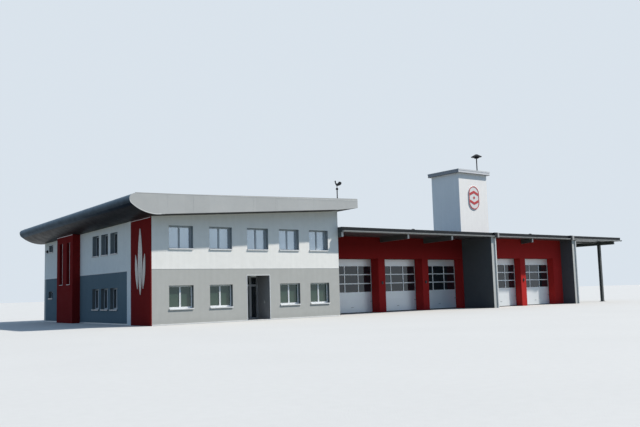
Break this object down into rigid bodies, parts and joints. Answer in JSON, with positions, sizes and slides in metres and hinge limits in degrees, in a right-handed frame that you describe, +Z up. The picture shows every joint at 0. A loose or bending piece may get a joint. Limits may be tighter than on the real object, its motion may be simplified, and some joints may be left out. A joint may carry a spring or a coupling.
{
  "type": "fire station building at half size",
  "caption": "Fire station: an office block under a curved metal roof, a flat-roofed vehicle hall with sectional doors behind wing walls, a hose tower and a carport",
  "frame": {"origin": "at ground level on the outer front left corner of the office block", "axes": "+X to the right along the front, +Y into the depth, +Z up"},
  "size_m": [25.387, 10.7602, 7.75],
  "materials": {
    "render_white": "fine white wall render",
    "render_grey": "fine grey wall render",
    "render_red": "deep red wall render",
    "render_dark": "dark grey render of the recess",
    "concrete": "trowelled concrete",
    "roof_metal": "grey coated sheet metal",
    "soffit_board": "dark coated soffit boards",
    "hall_roof_edge": "anthracite edge sheet and beams",
    "window_frame": "white window frames",
    "window_glass": "insulating glass",
    "sill_metal": "coated aluminium sills",
    "door_frame": "grey door profiles",
    "bay_panel": "light grey door sections",
    "gutter_metal": "gutters and downpipes",
    "steel_dark": "dark painted steel",
    "cap_render": "light tower cap",
    "ornament_steel": "brushed steel leaves",
    "plaque_enamel": "red and white plaque"
  },
  "bodies": {
    "building": {"upper_front_wall": "render_white", "upper_left_wall": "render_white", "upper_back_wall": "render_white", "upper_right_wall": "render_white", "white_corner_strip": "render_white", "tower_front_wall": "render_white", "tower_back_wall": "render_white", "tower_side_walls": "render_white", "lower_front_wall_left": "render_grey", "lower_front_wall_right": "render_grey", "entrance_lintel": "render_grey", "lower_left_wall": "render_grey", "lower_back_wall": "render_grey", "lower_right_wall": "render_grey", "wing_wall_1": "render_grey", "wing_wall_2": "render_grey", "hall_right_wall": "render_grey", "hall_back_wall": "render_grey", "stair_bay": "render_red", "red_corner_panel": "render_red", "hall_front_wall_a": "render_red", "hall_front_wall_b": "render_red", "entrance_recess": "render_dark", "office_ground_floor": "concrete", "office_upper_floor": "concrete", "hall_floor": "concrete", "office_roof": "roof_metal", "office_soffit": "soffit_board", "hall_roof": "hall_roof_edge", "hall_roof_beams": "hall_roof_edge", "window_frames": "window_frame", "window_glass": "window_glass", "entrance_glass": "window_glass", "bay_door_glass": "window_glass", "window_sills": "sill_metal", "entrance_screen": "door_frame", "bay_doors_a": "bay_panel", "bay_doors_b": "bay_panel", "gutters_and_downpipes": "gutter_metal", "carport_frame": "steel_dark", "weathercock_mast": "steel_dark", "siren": "steel_dark", "tower_cap": "cap_render", "panel_ornament": "ornament_steel", "tower_plaque": "plaque_enamel"},
    "entrance_door": {"entrance_door_leaf": "door_frame", "entrance_door_glass": "window_glass"},
    "vane": {"weathercock": "steel_dark"}
  },
  "joints": [
    {"name": "entrance_door_hinge", "type": "hinge", "parent": "building", "child": "entrance_door", "pos_m": [3.2965, 0.715, 0.56], "axis": [0, 0, -1], "range_deg": [0, 90]},
    {"name": "vane_spin", "type": "hinge", "parent": "building", "child": "vane", "pos_m": [7.215, 0.25, 4.56], "axis": [0, 0, 1], "continuous": true}
  ]
}
